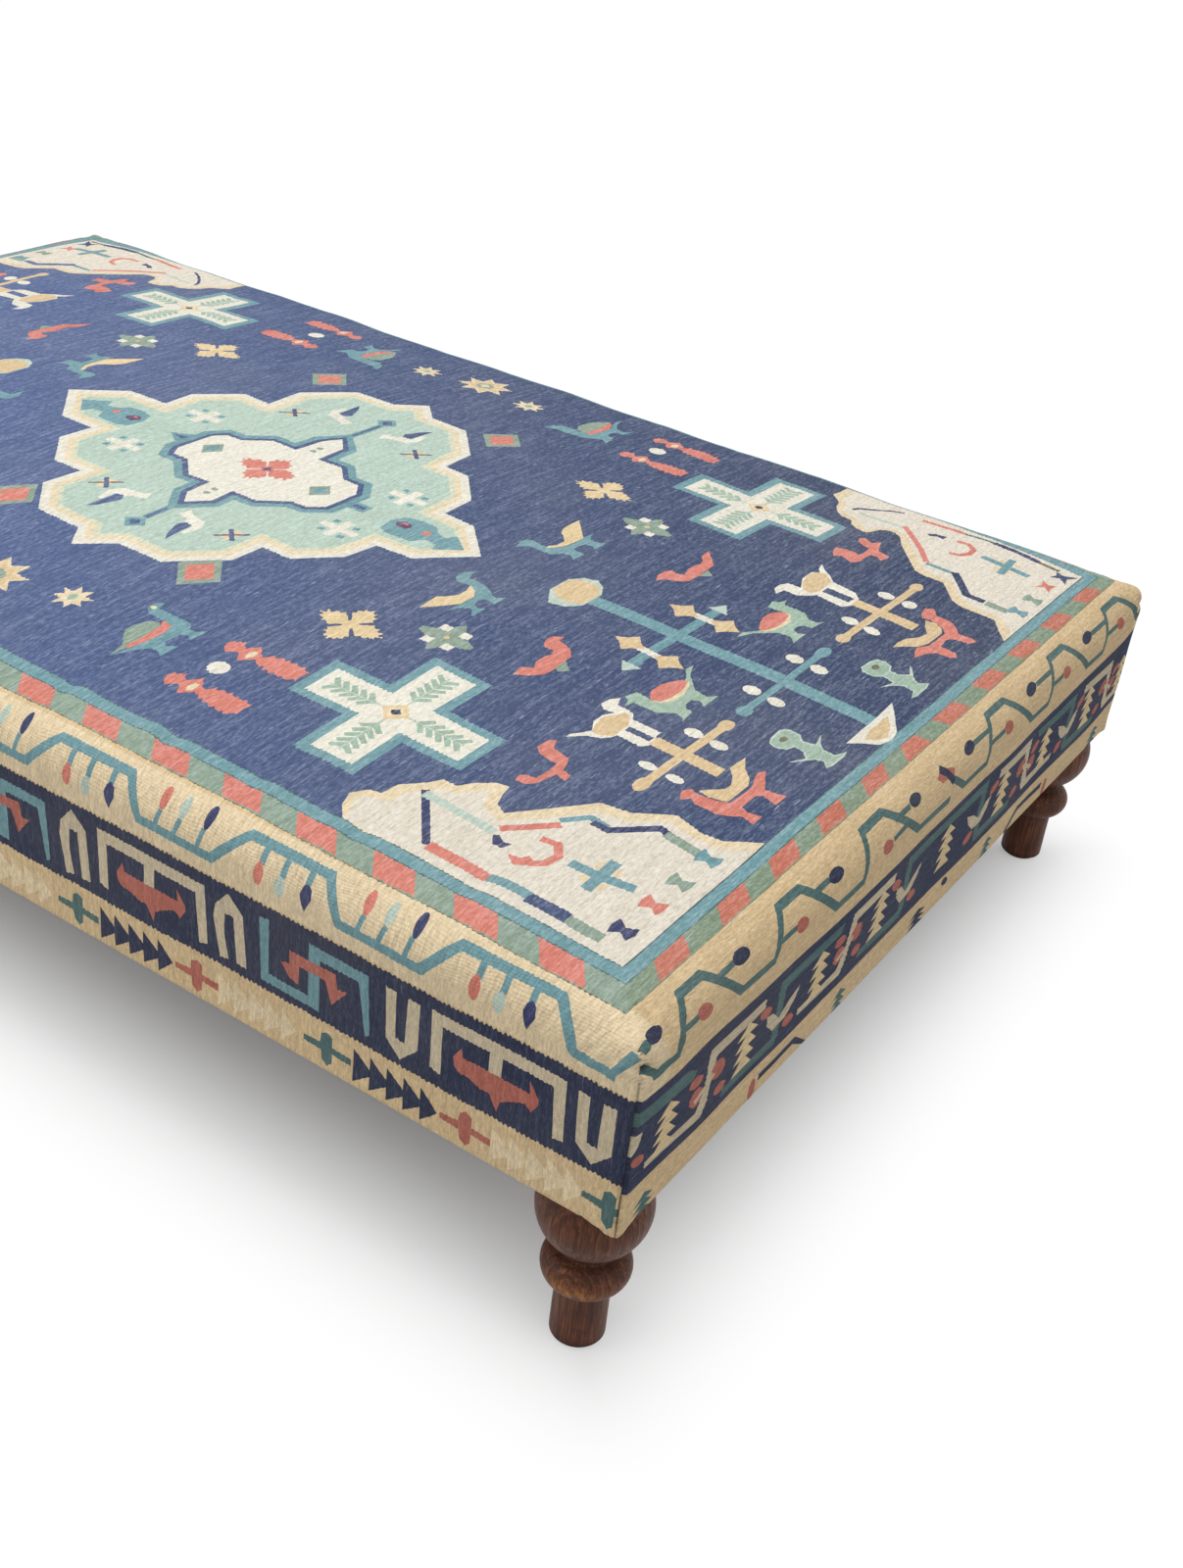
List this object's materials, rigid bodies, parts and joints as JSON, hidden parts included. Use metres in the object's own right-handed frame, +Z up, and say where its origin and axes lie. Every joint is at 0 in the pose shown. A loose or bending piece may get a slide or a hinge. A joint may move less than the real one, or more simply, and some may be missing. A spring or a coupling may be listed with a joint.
{
  "type": "upholstered ottoman",
  "caption": "Low rectangular ottoman with a crowned top, covered in a flat-woven kilim, on short turned wooden legs.",
  "frame": {"origin": "centre of the footprint, on the floor", "axes": "+X along the long side, +Y along the short side, +Z up"},
  "size_m": [1.425, 0.9, 0.3325],
  "materials": {
    "kilim": "matte",
    "leg_wood": "satin",
    "frame_wood": "matte",
    "calico": "matte",
    "wadding": "matte",
    "foam": "matte",
    "jute": "matte",
    "dust_cloth": "matte",
    "felt": "matte",
    "steel": "satin",
    "brass": "satin"
  },
  "bodies": {
    "root": {"leg_front_left": "leg_wood", "leg_front_right": "leg_wood", "leg_back_left": "leg_wood", "leg_back_right": "leg_wood", "felt_pads": "felt", "hanger_bolts": "steel", "threaded_inserts": "brass", "front_rail": "frame_wood", "back_rail": "frame_wood", "left_rail": "frame_wood", "right_rail": "frame_wood", "cross_rail_left": "frame_wood", "cross_rail_right": "frame_wood", "corner_block_front_left": "frame_wood", "corner_block_front_right": "frame_wood", "corner_block_back_left": "frame_wood", "corner_block_back_right": "frame_wood", "rail_dowels": "frame_wood", "corner_screws": "steel", "webbing_lengthwise": "jute", "webbing_crosswise": "jute", "hessian_deck": "jute", "foam_pad": "foam", "fibre_wadding": "wadding", "calico_lining": "calico", "kilim_cover": "kilim", "dust_cover": "dust_cloth"}
  },
  "joints": []
}
